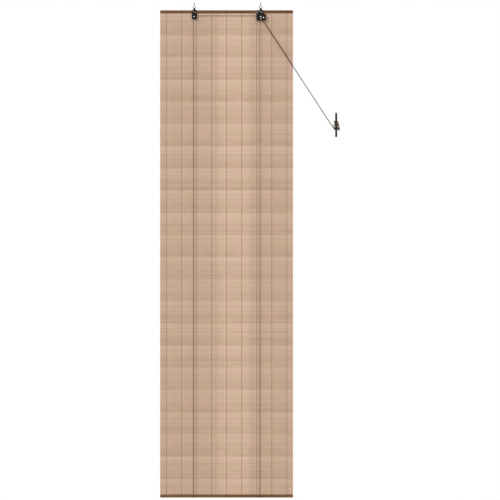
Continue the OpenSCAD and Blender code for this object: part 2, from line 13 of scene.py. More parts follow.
import bmesh
import bpy
from bmesh.types import BMEdge, BMesh, BMLayerItem, BMVert
from bpy.types import Material, Mesh, NodeSocket, Object
from mathutils import Matrix, Vector
from mathutils.geometry import interpolate_bezier
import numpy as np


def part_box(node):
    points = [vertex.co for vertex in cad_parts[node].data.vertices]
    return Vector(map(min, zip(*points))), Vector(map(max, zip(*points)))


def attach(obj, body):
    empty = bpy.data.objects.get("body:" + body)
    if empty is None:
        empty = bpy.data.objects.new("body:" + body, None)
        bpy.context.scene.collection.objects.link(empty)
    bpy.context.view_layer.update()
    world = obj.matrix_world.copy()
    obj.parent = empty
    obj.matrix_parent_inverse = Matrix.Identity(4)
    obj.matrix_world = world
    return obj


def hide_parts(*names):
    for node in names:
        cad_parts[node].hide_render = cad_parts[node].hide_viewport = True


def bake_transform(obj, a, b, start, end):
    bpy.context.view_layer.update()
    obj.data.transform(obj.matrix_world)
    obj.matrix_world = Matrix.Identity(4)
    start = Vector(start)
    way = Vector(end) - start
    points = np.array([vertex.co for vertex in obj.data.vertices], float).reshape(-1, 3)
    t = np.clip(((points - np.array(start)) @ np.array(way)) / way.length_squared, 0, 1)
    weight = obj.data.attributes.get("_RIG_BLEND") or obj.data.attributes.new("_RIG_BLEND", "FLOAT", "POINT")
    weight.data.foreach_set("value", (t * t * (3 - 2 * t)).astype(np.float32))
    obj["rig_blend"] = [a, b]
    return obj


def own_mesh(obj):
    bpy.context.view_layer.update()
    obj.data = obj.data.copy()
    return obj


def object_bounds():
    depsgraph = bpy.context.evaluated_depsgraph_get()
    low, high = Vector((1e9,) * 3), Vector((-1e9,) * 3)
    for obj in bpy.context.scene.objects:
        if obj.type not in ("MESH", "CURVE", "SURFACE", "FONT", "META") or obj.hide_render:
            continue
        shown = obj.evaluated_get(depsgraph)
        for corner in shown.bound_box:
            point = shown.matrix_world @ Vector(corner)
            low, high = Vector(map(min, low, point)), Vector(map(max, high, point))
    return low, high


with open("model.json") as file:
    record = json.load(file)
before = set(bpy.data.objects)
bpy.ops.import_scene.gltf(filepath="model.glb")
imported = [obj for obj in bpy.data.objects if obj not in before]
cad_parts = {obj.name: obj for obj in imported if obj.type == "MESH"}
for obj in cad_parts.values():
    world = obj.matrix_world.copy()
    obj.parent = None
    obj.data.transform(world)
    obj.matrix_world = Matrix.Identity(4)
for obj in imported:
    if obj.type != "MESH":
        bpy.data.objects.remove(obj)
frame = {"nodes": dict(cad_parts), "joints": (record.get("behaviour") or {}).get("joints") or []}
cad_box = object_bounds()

MM = 0.001
FULL_TURN = 2 * math.pi
WELD = 0.0005 * MM
FLAT_DEG = 1
SHARP_DEG = 38
SMOOTH_DEG = 180
CORD_MAP = "cord_map"
SLAT_MAP = "slat_map"

Colour = tuple[float, float, float, float]
Point = tuple[float, float, float]
log = logging.getLogger("blind")


class Body(Enum):
    """The bodies of the frame that new pieces move with."""

    FIXINGS = "fixings"
    BLIND = "blind"
    BOTTOM_END = "bottom_end"


class Slot(Enum):
    """The record's finishes."""

    BAMBOO = "bamboo"
    STAINED_WOOD = "stained_wood"
    WARP_THREAD = "warp_thread"
    LIFT_CORD = "lift_cord"
    BLACK_PLATE = "black_plate"
    CLEAT_BLACK = "cleat_black"
    BRIGHT_STEEL = "bright_steel"
    HOOK_STEEL = "hook_steel"
    WHEEL_NYLON = "wheel_nylon"


class Side(Enum):
    """The two ends of the blind, as someone facing it sees them."""

    LEFT = "left"
    RIGHT = "right"


def srgb(*parts: int) -> Colour:
    """Turns a colour written from 0 to 255, as on a screen, into linear light.

    Args:
        *parts: The red, green and blue parts.

    Returns:
        The colour with full opacity.
    """
    shares = [part / 255 for part in parts]
    linear = [s / 12.92 if s <= 0.04045 else ((s + 0.055) / 1.055) ** 2.4 for s in shares]
    return (*linear, 1.0)


def as_mesh(bm: BMesh, name: str) -> Mesh:
    """Writes a bmesh, which is used up, to a new mesh.

    Args:
        bm: The bmesh.
        name: The mesh's name.

    Returns:
        The mesh.
    """
    mesh = bpy.data.meshes.new(name)
    bm.to_mesh(mesh)
    bm.free()
    return mesh


def add_copy(bm: BMesh, mesh: Mesh) -> list[BMVert]:
    """Adds a copy of a mesh to a bmesh.

    Args:
        bm: The bmesh to add to.
        mesh: The mesh to copy.

    Returns:
        The copy's points.
    """
    before = len(bm.verts)
    bm.from_mesh(mesh)
    bm.verts.ensure_lookup_table()
    return bm.verts[before:]


def ease(bm: BMesh, edges: list[BMEdge], width: float, segments: int = 2) -> None:
    """Rounds edges over a width, with a number of faces across."""
    bmesh.ops.bevel(
        bm, geom=edges, offset=width, offset_type="OFFSET", segments=segments, profile=0.5,
        affect="EDGES", clamp_overlap=True, material=-1,
    )


def linked(name: str, data: bpy.types.ID) -> Object:
    """Puts an object into the scene.

    Args:
        name: The object's name.
        data: Its mesh, lamp or lens.

    Returns:
        The object, at the origin.
    """
    made = bpy.data.objects.new(name, data)
    bpy.context.scene.collection.objects.link(made)
    return made


class Value:
    """A shader socket that takes part in Python expressions, where each operator adds one Math node."""

    def __init__(self, nodes: "Nodes", socket: NodeSocket) -> None:
        """Keeps the socket and the tree that it belongs to."""
        self.nodes = nodes
        self.socket = socket

    def math(self, operation: str, *terms: "Term") -> "Value":
        """Adds one Math node on these terms, in their order."""
        return self.nodes.node("ShaderNodeMath", {"operation": operation}, dict(enumerate(terms)))

    def __add__(self, other: "Term") -> "Value":
        """This value plus another."""
        return self.math("ADD", self, other)

    __radd__ = __add__

    def __sub__(self, other: "Term") -> "Value":
        """This value less another."""
        return self.math("SUBTRACT", self, other)

    def __rsub__(self, other: "Term") -> "Value":
        """A number less this value."""
        return self.math("SUBTRACT", other, self)

    def __mul__(self, other: "Term") -> "Value":
        """This value times another."""
        return self.math("MULTIPLY", self, other)

    def __truediv__(self, other: "Term") -> "Value":
        """This value divided by another."""
        return self.math("DIVIDE", self, other)

    def __abs__(self) -> "Value":
        """The size of this value, without its sign."""
        return self.math("ABSOLUTE", self)

    def floor(self) -> "Value":
        """The whole number below this value."""
        return self.math("FLOOR", self)

    def fraction(self) -> "Value":
        """What is left of this value above a whole number."""
        return self.math("FRACT", self)

    def wave(self) -> "Value":
        """The sine of this value in turns, moved into the range from 0 to 1."""
        return self.math("SINE", self * FULL_TURN) * 0.5 + 0.5

    def between(self, low: float, high: float) -> "Value":
        """How far this value has come from low to high, kept from 0 to 1."""
        return self.nodes.node(
            "ShaderNodeMapRange", {"clamp": True}, {"Value": self, "From Min": low, "From Max": high}
        )


Term = Union[Value, float]
Feed = Union[Value, float, Sequence[float]]


class Nodes:
    """A node tree that is built node by node."""

    def __init__(self, tree: bpy.types.NodeTree) -> None:
        """Takes the tree to build in."""
        self.tree = tree

    def node(
        self,
        kind: str,
        settings: Optional[Mapping[str, object]] = None,
        inputs: Optional[Mapping[Union[str, int], Feed]] = None,
        output: Union[str, int] = 0,
    ) -> Value:
        """Adds one node.

        Args:
            kind: The node's type.
            settings: Its properties, which are set first.
            inputs: Values or links for its sockets, by name or number.
            output: The socket that is wanted.

        Returns:
            The wanted output.
        """
        made = self.tree.nodes.new(kind)
        for key, setting in (settings or {}).items():
            setattr(made, key, setting)
        for key, value in (inputs or {}).items():
            self.feed(made.inputs[key], value)
        return Value(self, made.outputs[output])

    def feed(self, socket: NodeSocket, value: Feed) -> None:
        """Links a value to a socket, or sets the socket to a plain number or colour.

        Args:
            socket: The input to fill.
            value: What goes into it.
        """
        if isinstance(value, Value):
            self.tree.links.new(value.socket, socket)
        else:
            socket.default_value = value

    def vector(self, x: Term, y: Term, z: Term = 0.0) -> Value:
        """Three values as one vector."""
        return self.node("ShaderNodeCombineXYZ", inputs={0: x, 1: y, 2: z})

    def mix(self, share: Term, first: Feed, second: Feed, blend: str = "MIX") -> Value:
        """Mixes two colours.

        Args:
            share: How much of the second colour shows.
            first: The colour below.
            second: The colour on top.
            blend: The way that they mix.

        Returns:
            The mixed colour.
        """
        settings = {"data_type": "RGBA", "blend_type": blend}
        return self.node("ShaderNodeMix", settings, {0: share, 6: first, 7: second}, output=2)

    def ramp(self, share: Value, stops: Sequence[tuple[float, Colour]]) -> Value:
        """A colour ramp.

        Args:
            share: The place on the ramp, from 0 to 1.
            stops: The ramp's places, each with its colour.

        Returns:
            The colour at the share.
        """
        made = self.node("ShaderNodeValToRGB", inputs={0: share})
        elements = made.socket.node.color_ramp.elements
        while len(elements) < len(stops):
            elements.new(1.0)
        for element, (place, colour) in zip(elements, stops):
            element.position = place
            element.color = colour
        return made

    def noise(self, place: Value, scale: float = 1.0, detail: float = 3.0) -> Value:
        """Noise from 0 to 1 at a place."""
        return self.node("ShaderNodeTexNoise", inputs={"Vector": place, "Scale": scale, "Detail": detail})

    def stretched(self, place: Value, scale: Point) -> Value:
        """A place with each axis scaled by itself."""
        return self.node("ShaderNodeMapping", inputs={"Vector": place, "Scale": scale})


class Surface(Nodes):
    """A material in the making, round its Principled shader."""

    def __init__(self, name: str) -> None:
        """Makes the material.

        Args:
            name: The material's name.
        """
        self.material = bpy.data.materials.new(name)
        self.material.use_nodes = True
        super().__init__(self.material.node_tree)
        self.shader = self.tree.nodes["Principled BSDF"]

    def place(self) -> Value:
        """The place on the piece, in its own axes."""
        return self.node("ShaderNodeTexCoord", output="Object")

    def map(self, name: str) -> tuple[Value, Value]:
        """The two coordinates of one of the piece's own maps."""
        laid = self.node("ShaderNodeUVMap", {"uv_map": name})
        return tuple(self.node("ShaderNodeSeparateXYZ", inputs={0: laid}, output=k) for k in (0, 1))

    def dress(
        self,
        colour: Feed,
        roughness: Feed,
        height: Optional[Value] = None,
        relief: float = 0.0,
        **constants: float,
    ) -> Material:
        """Feeds the shader and hands over the material.

        Args:
            colour: The base colour.
            roughness: The roughness.
            height: The height of the relief, from 0 to 1.
            relief: How high a height of 1 stands, in metres.
            **constants: Other sockets, with an underscore for each space in their names.

        Returns:
            The finished material.
        """
        self.feed(self.shader.inputs["Base Color"], colour)
        self.feed(self.shader.inputs["Roughness"], roughness)
        for name, value in constants.items():
            self.shader.inputs[name.replace("_", " ")].default_value = value
        if height is not None:
            inputs = {"Strength": 1.0, "Distance": relief, "Height": height}
            self.feed(self.shader.inputs["Normal"], self.node("ShaderNodeBump", inputs=inputs))
        return self.material


@dataclass(frozen=True)
class SplitBamboo:
    """Split bamboo: runs of slats from one culm, each run from pale to deep, with fibres, culm rings and a
    painted band of sheen.
    """

    pale: Colour = srgb(206, 177, 155)
    deep: Colour = srgb(180, 150, 126)
    honey: Colour = srgb(196, 170, 138)
    rosy: Colour = srgb(202, 166, 148)
    run: int = 20
    ring_gap: float = 0.37
    ring_w: float = 1.6 * MM
    # painted sheen: the middle, half width and soft edge of a paler band down the slats, in metres along a
    # slat
    sheen_at: float = 0.333
    sheen_half: float = 0.08
    sheen_soft: float = 0.02
    patch_share: float = 0.64
    base: float = 0.825
    fibre_gain: float = 0.12
    streak_gain: float = 0.08
    column_gain: float = 0.12
    sheen_gain: float = 0.13
    ring_loss: float = 0.14
    rough: float = 0.72
    rough_loss: float = 0.2
    relief: float = 0.12 * MM

    def material(self) -> Material:
        """Builds the material on the slats' own map: metres along a slat, and slats from the top.

        Returns:
            The material.
        """
        skin = Surface("split_bamboo")
        along, across = skin.map(SLAT_MAP)
        slat = across.floor()
        chance = skin.node("ShaderNodeTexWhiteNoise", {"noise_dimensions": "1D"}, {"W": slat})
        tone = (slat / self.run).fraction() + (chance - 0.5) * 0.6
        colour = skin.mix(tone.between(-0.3, 1.3), self.pale, self.deep)
        patch = skin.noise(skin.vector(along * 9, across * 0.07), detail=2)
        colour = skin.mix(patch.between(0.5, 0.7) * self.patch_share, colour, self.honey)
        colour = skin.mix(patch.between(0.5, 0.3) * self.patch_share, colour, self.rosy)
        fibre = skin.noise(skin.vector(along * 26, across * 11, slat * 0.73), detail=4)
        streak = skin.noise(skin.vector(along * 3, across * 4, slat * 1.7), detail=2)
        ring = abs(((along + chance * 7) / self.ring_gap).fraction() - 0.5) * self.ring_gap
        ring = 1 - ring.between(0, self.ring_w)
        column = skin.noise(skin.vector(along * 38, 0.0), detail=2)
        # painted sheen: the slats are painted lighter in a broad band down the mat, a little right of its
        # middle
        painted_sheen = abs(along - self.sheen_at).between(self.sheen_half, self.sheen_half - self.sheen_soft)
        shade = self.base + fibre * self.fibre_gain + streak * self.streak_gain + column * self.column_gain
        shade = shade + painted_sheen * self.sheen_gain - ring * self.ring_loss
        colour = skin.mix(1.0, colour, shade, "MULTIPLY")
        rough, height = self.rough - fibre * self.rough_loss, fibre * 0.5 + ring * 0.5
        return skin.dress(colour, rough, height, self.relief, Specular_IOR_Level=0.3)


@dataclass(frozen=True)
class StainedWood:
    """Softwood under a dark stain, with its grain along the batten."""

    dark: Colour = srgb(84, 54, 31)
    middle: Colour = srgb(114, 79, 49)
    light: Colour = srgb(140, 102, 68)
    rough: float = 0.5
    relief: float = 0.1 * MM

    def material(self) -> Material:
        """Builds the material.

        Returns:
            The material.
        """
        wood = Surface("stained_wood")
        place = wood.place()
        fibre = wood.noise(wood.stretched(place, (9, 420, 420)), detail=4)
        flow = wood.noise(wood.stretched(place, (2.5, 70, 70)), detail=2)
        pore = wood.noise(wood.stretched(place, (55, 1900, 1900)), detail=2).between(0.6, 0.72)
        share = fibre * 0.55 + flow * 0.45
        colour = wood.ramp(share, [(0.28, self.dark), (0.5, self.middle), (0.74, self.light)])
        colour = wood.mix(pore * 0.45, colour, self.dark)
        rough, height = self.rough + fibre * 0.2, fibre - pore * 0.6
        return wood.dress(colour, rough, height, self.relief, Specular_IOR_Level=0.15)


@dataclass(frozen=True)
class TwistedThread:
    """Cotton warp thread of a few twisted plies."""

    deep: Colour = srgb(74, 40, 14)
    pale: Colour = srgb(112, 70, 34)
    plies: int = 3
    lay: float = 2.4 * MM
    rough: float = 0.95
    relief: float = 0.12 * MM

    def material(self) -> Material:
        """Builds the material on the cord map: turns round the thread, and metres along it.

        Returns:
            The material.
        """
        thread = Surface("twisted_thread")
        turn, along = thread.map(CORD_MAP)
        ply = (turn * self.plies + along / self.lay).wave()
        fuzz = thread.noise(thread.vector(turn * 9, along * 2600), detail=3)
        # painted shade: the colour runs from pale on each ply's crest to deep in the groove between plies,
        # where the bump dips; the fuzz is random tone
        colour = thread.mix(ply * 0.6 + fuzz * 0.4, self.deep, self.pale)
        height = ply * 0.7 + fuzz * 0.3
        return thread.dress(colour, self.rough, height, self.relief, Specular_IOR_Level=0.1)


@dataclass(frozen=True)
class BraidedCord:
    """Braided cotton cord in dark brown."""

    deep: Colour = srgb(49, 29, 10)
    pale: Colour = srgb(92, 61, 29)
    carriers: int = 4
    lay: float = 3.4 * MM
    rough: float = 0.95
    relief: float = 0.16 * MM

    def material(self) -> Material:
        """Builds the material on the cord map: turns round the cord, and metres along it.

        Returns:
            The material.
        """
        braid = Surface("braided_cord")
        turn, along = braid.map(CORD_MAP)
        right = (turn * self.carriers + along / self.lay).wave()
        left = (turn * self.carriers - along / self.lay).wave()
        over = right.math("MAXIMUM", right, left)
        fuzz = braid.noise(braid.vector(turn * 10, along * 2200), detail=3)
        # painted shade: the colour is pale where a carrier lies over and deep where it dips under, as the
        # bump does; the fuzz is random tone
        colour = braid.mix(over.between(0.4, 1.0) * 0.65 + fuzz * 0.35, self.deep, self.pale)
        height = over * 0.8 + fuzz * 0.2
        return braid.dress(colour, self.rough, height, self.relief, Specular_IOR_Level=0.1)


@dataclass(frozen=True)
class SmoothSkin:
    """Enamel or moulded nylon, with a fine grain and a few rubbed or grimy patches."""

    name: str
    clean: Colour
    worn: Colour
    rough: float
    patch_scale: float = 160
    patch_from: float = 0.56
    patch_to: float = 0.74
    patch_share: float = 0.7
    grain_scale: float = 900
    relief: float = 0.03 * MM
    shine: float = 0.15

    def material(self) -> Material:
        """Builds the material.

        Returns:
            The material.
        """
        skin = Surface(self.name)
        place = skin.place()
        grain = skin.noise(place, self.grain_scale, 2)
        patch = skin.noise(place, self.patch_scale, 4).between(self.patch_from, self.patch_to)
        colour = skin.mix(patch * self.patch_share, self.clean, self.worn)
        rough = self.rough + patch * 0.25
        return skin.dress(colour, rough, grain, self.relief, Specular_IOR_Level=self.shine)


@dataclass(frozen=True)
class ZincSteel:
    """Bright zinc on steel, brushed a little by handling."""

    name: str
    bright: Colour
    dull: Colour
    rough: float = 0.2
    relief: float = 0.01 * MM

    def material(self) -> Material:
        """Builds the material.

        Returns:
            The material.
        """
        metal = Surface(self.name)
        place = metal.place()
        cloud = metal.noise(place, 420, 3)
        scratch = metal.noise(metal.stretched(place, (300, 2400, 2400)), detail=3)
        colour = metal.mix(cloud.between(0.35, 0.7), self.bright, self.dull)
        return metal.dress(colour, self.rough + scratch * 0.2, scratch, self.relief, Metallic=1.0)


Finishes = Mapping[Slot, Material]


def make_finishes() -> Finishes:
    """Builds every material once.

    Returns:
        The materials by slot.
    """
    nylon = SmoothSkin(
        "natural_nylon", srgb(228, 224, 212), srgb(188, 178, 158), 0.38, patch_scale=520, patch_from=0.5,
        patch_to=0.8, patch_share=0.6, grain_scale=2600, relief=0.02 * MM, shine=0.5,
    )
    finishes = {
        Slot.BAMBOO: SplitBamboo(),
        Slot.STAINED_WOOD: StainedWood(),
        Slot.WARP_THREAD: TwistedThread(),
        Slot.LIFT_CORD: BraidedCord(),
        Slot.BLACK_PLATE: SmoothSkin("black_enamel", srgb(20, 18, 17), srgb(54, 51, 48), 0.34),
        Slot.CLEAT_BLACK: SmoothSkin("cleat_enamel", srgb(22, 22, 22), srgb(52, 51, 50), 0.42),
        Slot.BRIGHT_STEEL: ZincSteel("bright_steel", srgb(240, 236, 230), srgb(210, 205, 196)),
        Slot.HOOK_STEEL: ZincSteel("hook_zinc", srgb(112, 112, 115), srgb(74, 74, 77)),
        Slot.WHEEL_NYLON: nylon,
    }
    return {slot: finish.material() for slot, finish in finishes.items()}


@dataclass
class Piece:
    """A new piece, from its bmesh to an object of the blind."""

    name: str
    slot: Slot
    body: Optional[Body] = None
    replaced: tuple[str, ...] = ()
    sharp_deg: float = 42.0

    def finish(self, bm: BMesh, finishes: Finishes) -> Object:
        """Writes the mesh, dresses it and lets it ride.

        Args:
            bm: The mesh, which is used up.
            finishes: The materials.

        Returns:
            The object, at the origin.
        """
        for face in bm.faces:
            face.smooth = True
        mesh = as_mesh(bm, self.name)
        mesh.set_sharp_from_angle(angle=math.radians(self.sharp_deg))
        mesh.materials.append(finishes[self.slot])
        made = linked(self.name, mesh)
        if self.body:
            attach(made, self.body.value)
        if self.replaced:
            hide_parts(*self.replaced)
        log.info("%s: %d faces", self.name, len(mesh.polygons))
        return made


@dataclass(frozen=True)
class Strand:
    """The section of a cord or thread: its width across, its depth and how many sides it has."""

    width: float
    depth: float
    sides: int

    def sweep(self, bm: BMesh, route: Sequence[Vector], side: Point) -> None:
        """Pulls the section along a route and closes both ends.

        Args:
            bm: The mesh to add to.
            route: The points to follow.
            side: A direction across the route's start, along which the width lies.
        """
        turn, along = self._layers(bm)
        last = len(route) - 1
        ways = [(route[min(i + 1, last)] - route[max(i - 1, 0)]).normalized() for i in range(last + 1)]
        across = (Vector(side) - ways[0] * Vector(side).dot(ways[0])).normalized()
        axes = Matrix((across, ways[0].cross(across), ways[0])).transposed().to_4x4()
        place = Matrix.Translation(route[0]) @ axes
        place = place @ Matrix.Diagonal((self.width / 2, self.depth / 2, 1, 1))
        made = bmesh.ops.create_circle(bm, cap_ends=True, segments=self.sides, radius=1, matrix=place)
        ring = made["verts"]
        for k, vert in enumerate(ring):
            vert[turn] = k / self.sides
        edges = list(ring[0].link_faces[0].edges)
        length = 0.0
        for i in range(1, last + 1):
            made = bmesh.ops.extrude_edge_only(bm, edges=edges)["geom"]
            ring = [part for part in made if isinstance(part, BMVert)]
            new = set(ring)
            edges = [e for e in made if isinstance(e, BMEdge) and set(e.verts) <= new]
            swing = ways[i - 1].rotation_difference(ways[i]).to_matrix()
            bmesh.ops.rotate(bm, cent=route[i - 1], matrix=swing, verts=ring)
            bmesh.ops.translate(bm, vec=route[i] - route[i - 1], verts=ring)
            length += (route[i] - route[i - 1]).length
            for vert in ring:
                vert[along] = length
        bmesh.ops.edgeloop_fill(bm, edges=edges)

    def braid(self, route: Sequence[Vector], side: Point) -> BMesh:
        """One strand by itself, with its map.

        Args:
            route: The points to follow.
            side: A direction across the route's start.

        Returns:
            The strand's mesh.
        """
        bm = bmesh.new()
        self.sweep(bm, route, side)
        self.lay_map(bm)
        return bm

    @staticmethod
    def _layers(bm: BMesh) -> tuple[BMLayerItem, BMLayerItem]:
        """The layers that hold the turn round a strand and the length along it."""
        layers = bm.verts.layers.float
        return tuple(layers.get(name) or layers.new(name) for name in ("turn", "along"))

    @classmethod
    def lay_map(cls, bm: BMesh) -> None:
        """Turns the faces outwards and writes the cord map from the two layers.

        Args:
            bm: A mesh of swept strands.
        """
        bmesh.ops.recalc_face_normals(bm, faces=bm.faces)
        turn, along = cls._layers(bm)
        laid = bm.loops.layers.uv.new(CORD_MAP)
        for face in bm.faces:
            turns = [loop.vert[turn] for loop in face.loops]
            seam = max(turns) - min(turns) > 0.5
            for loop, share in zip(face.loops, turns):
                loop[laid].uv = (share + 1 if seam and share < 0.5 else share, loop.vert[along])


def arc(centre: Vector, start: Vector, turn: Vector, angles: Iterable[float]) -> list[Vector]:
    """Points on a round stretch.

    Args:
        centre: The middle of the circle.
        start: From the middle to the point at 0 degrees.
        turn: From the middle to the point at 90 degrees.
        angles: The places of the points, in degrees.

    Returns:
        The points.
    """
    rounds = [math.radians(angle) for angle in angles]
    return [centre + start * math.cos(a) + turn * math.sin(a) for a in rounds]


def steps(first: float, last: float, count: int) -> list[float]:
    """Evenly spaced numbers from first to last, both included."""
    return [first + (last - first) * i / count for i in range(count + 1)]


def smooth(points: Sequence[Vector], per: int) -> list[Vector]:
    """A smooth curve through points.

    Args:
        points: The points to pass.
        per: The steps from one point to the next.

    Returns:
        The points along the curve.
    """
    last = len(points) - 1
    ways = [(points[min(i + 1, last)] - points[max(i - 1, 0)]) / 6 for i in range(last + 1)]
    curve = [points[0]]
    for i in range(last):
        a, b = points[i], points[i + 1]
        curve += interpolate_bezier(a, a + ways[i], b - ways[i + 1], b, per + 1)[1:]
    return curve


def centre_of(node: str) -> Vector:
    """The middle of a solid's box."""
    low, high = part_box(node)
    return (low + high) / 2


def softened(node: str, edge: float, segments: int = 2) -> BMesh:
    """Copies a solid and eases its sharp edges.

    Args:
        node: The solid.
        edge: The width of the eased edge.
        segments: The faces across it.

    Returns:
        The eased copy.
    """
    bm = bmesh.new()
    bm.from_mesh(frame["nodes"][node].data)
    bmesh.ops.remove_doubles(bm, verts=bm.verts, dist=WELD)
    bmesh.ops.dissolve_limit(bm, angle_limit=math.radians(FLAT_DEG), verts=bm.verts, edges=bm.edges)
    sharp = [e for e in bm.edges if e.is_manifold and e.calc_face_angle(0) > math.radians(SHARP_DEG)]
    ease(bm, sharp, edge, segments)
    return bm


@dataclass
class ScrewHook:
    """A zinc hook: wood thread, collar and open ring."""

    finishes: Finishes
    side: Side
    wire_d: float = 2.4 * MM
    core_d: float = 2.7 * MM
    thread_d: float = 3.6 * MM
    thread_root: float = 0.1 * MM
    thread_pitch: float = 1.35 * MM
    thread_half: float = 0.432 * MM
    thread_crest: float = 0.2
    point_len: float = 3.0 * MM
    tip_len: float = 0.3 * MM
    tip_share: float = 0.25
    collar_d: float = 5.6 * MM
    collar_h: float = 1.5 * MM
    collar_edge: float = 0.35 * MM
    ring_sweep_deg: float = 290.0
    ring_sides: int = 12
    ring_steps: int = 36
    spin_steps: int = 24

    def __post_init__(self) -> None:
        """Takes the hook's place from the frame."""
        self.node = f"{self.side.value}_screw_hook"
        self.low, self.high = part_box(self.node)
        self.axis = Vector(((self.low.x + self.high.x) / 2, 0, 0))
        self.bm = bmesh.new()

    def build(self) -> None:
        """Models the hook over its solid."""
        self._turned()
        self._thread()
        self._ring()
        bmesh.ops.recalc_face_normals(self.bm, faces=self.bm.faces)
        hook = Piece(f"{self.node}_wire", Slot.HOOK_STEEL, Body.FIXINGS, (self.node,))
        hook.finish(self.bm, self.finishes)

    def _turned(self) -> None:
        """Turns the screw's core, its point, the collar and the neck."""
        bm, axis, top = self.bm, self.axis, self.high.z
        core, collar, wire = self.core_d / 2, self.collar_d / 2, self.wire_d / 2
        edge, under = self.collar_edge, -self.collar_h
        outline = [
            (0, top), (core * self.tip_share, top - self.tip_len), (core, top - self.point_len), (core, 0),
            (collar - edge, 0), (collar, -edge), (collar, under + edge), (collar - edge, under),
            (wire + edge, under), (wire, under - edge), (wire, under - wire), (0, under - wire),
        ]
        verts = [bm.verts.new(axis + Vector((r, 0, z))) for r, z in outline]
        edges = [bm.edges.new(pair) for pair in zip(verts, verts[1:])]
        bmesh.ops.spin(
            bm, geom=verts + edges, cent=axis, axis=(0, 0, 1), angle=FULL_TURN, steps=self.spin_steps,
            use_merge=True,
        )
        bmesh.ops.remove_doubles(bm, verts=bm.verts, dist=WELD)

    def _thread(self) -> None:
        """Winds the thread's ridge up the core."""
        bm, axis, top = self.bm, self.axis, self.high.z - self.point_len
        foot, tip, half = self.core_d / 2 - self.thread_root, self.thread_d / 2, self.thread_half
        turns = (top - 2 * half) / self.thread_pitch
        count = round(turns * self.spin_steps)
        low, high = half * (1 - self.thread_crest), half * (1 + self.thread_crest)
        corners = [(foot, 0), (tip, low), (tip, high), (foot, 2 * half)]
        verts = [bm.verts.new(axis + Vector((r, 0, z))) for r, z in corners]
        face = bm.faces.new(verts)
        bmesh.ops.spin(
            bm, geom=[face, *face.edges, *verts], cent=axis, axis=(0, 0, 1), angle=turns * FULL_TURN,
            steps=count, dvec=(0, 0, turns * self.thread_pitch / count),
        )

    def _ring(self) -> None:
        """Bends the open ring from the neck round to its free end."""
        wire, axis = self.wire_d / 2, self.axis
        top = -self.collar_h - wire
        radius = (top - self.low.z - wire) / 2
        middle = axis + Vector((0, 0, top - radius))
        place = Matrix.Translation(axis + Vector((0, 0, top))) @ Matrix.Rotation(math.pi / 2, 4, "Y")
        made = bmesh.ops.create_circle(
            self.bm, cap_ends=True, segments=self.ring_sides, radius=wire, matrix=place
        )["verts"]
        face = made[0].link_faces[0]
        bmesh.ops.spin(
            self.bm, geom=[face, *face.edges, *made], cent=middle, axis=(0, -1, 0),
            angle=math.radians(self.ring_sweep_deg), steps=self.ring_steps,
        )


